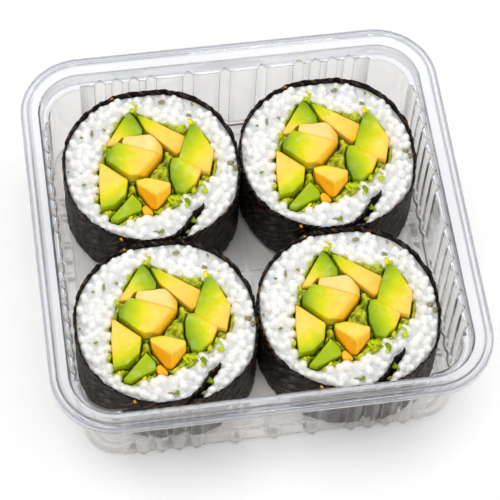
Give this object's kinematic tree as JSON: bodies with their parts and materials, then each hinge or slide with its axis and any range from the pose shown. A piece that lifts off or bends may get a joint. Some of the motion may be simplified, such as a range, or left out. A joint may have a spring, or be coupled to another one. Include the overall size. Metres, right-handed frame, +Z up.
{
  "type": "takeaway sushi tray",
  "caption": "Clear thermoformed square tray with a fluted wall and a flat rim, packed with thick rice rolls that show an avocado filling.",
  "frame": {"origin": "middle of the tray's footprint on the surface that it stands on", "axes": "+Z up out of the tray, +X along the front edge towards the right, -Y the side that faces the viewer"},
  "size_m": [0.136, 0.133, 0.039],
  "materials": {
    "tray": "clear thin thermoformed sheet, glossy",
    "nori": "dried seaweed sheet, fibrous, faint sheen",
    "rice": "cooked short-grain rice, moist, slightly translucent",
    "avocado": "ripe avocado flesh, pale yellow turning green at the skin side, moist",
    "mash": "mashed avocado, wet and lumpy"
  },
  "bodies": {
    "root": {"tray": "tray", "back_left.nori": "nori", "back_left.rice": "rice", "back_left.mash": "mash", "back_left.avocado_back_left": "avocado", "back_left.avocado_middle_pale": "avocado", "back_left.avocado_middle_large": "avocado", "back_left.avocado_left": "avocado", "back_left.avocado_front_left": "avocado", "back_left.avocado_front_middle": "avocado", "back_left.avocado_front_small": "avocado", "back_left.avocado_back_slab": "avocado", "back_left.avocado_right": "avocado", "back_left.avocado_right_lower": "avocado", "back_right.nori": "nori", "back_right.rice": "rice", "back_right.mash": "mash", "back_right.avocado_back_left": "avocado", "back_right.avocado_middle_pale": "avocado", "back_right.avocado_middle_large": "avocado", "back_right.avocado_left": "avocado", "back_right.avocado_front_left": "avocado", "back_right.avocado_front_middle": "avocado", "back_right.avocado_front_small": "avocado", "back_right.avocado_back_slab": "avocado", "back_right.avocado_right": "avocado", "back_right.avocado_right_lower": "avocado", "front_left.nori": "nori", "front_left.rice": "rice", "front_left.mash": "mash", "front_left.avocado_back_left": "avocado", "front_left.avocado_middle_pale": "avocado", "front_left.avocado_middle_large": "avocado", "front_left.avocado_left": "avocado", "front_left.avocado_front_left": "avocado", "front_left.avocado_front_middle": "avocado", "front_left.avocado_front_small": "avocado", "front_left.avocado_back_slab": "avocado", "front_left.avocado_right": "avocado", "front_left.avocado_right_lower": "avocado", "front_right.nori": "nori", "front_right.rice": "rice", "front_right.mash": "mash", "front_right.avocado_back_left": "avocado", "front_right.avocado_middle_pale": "avocado", "front_right.avocado_middle_large": "avocado", "front_right.avocado_left": "avocado", "front_right.avocado_front_left": "avocado", "front_right.avocado_front_middle": "avocado", "front_right.avocado_front_small": "avocado", "front_right.avocado_back_slab": "avocado", "front_right.avocado_right": "avocado", "front_right.avocado_right_lower": "avocado"}
  },
  "joints": []
}
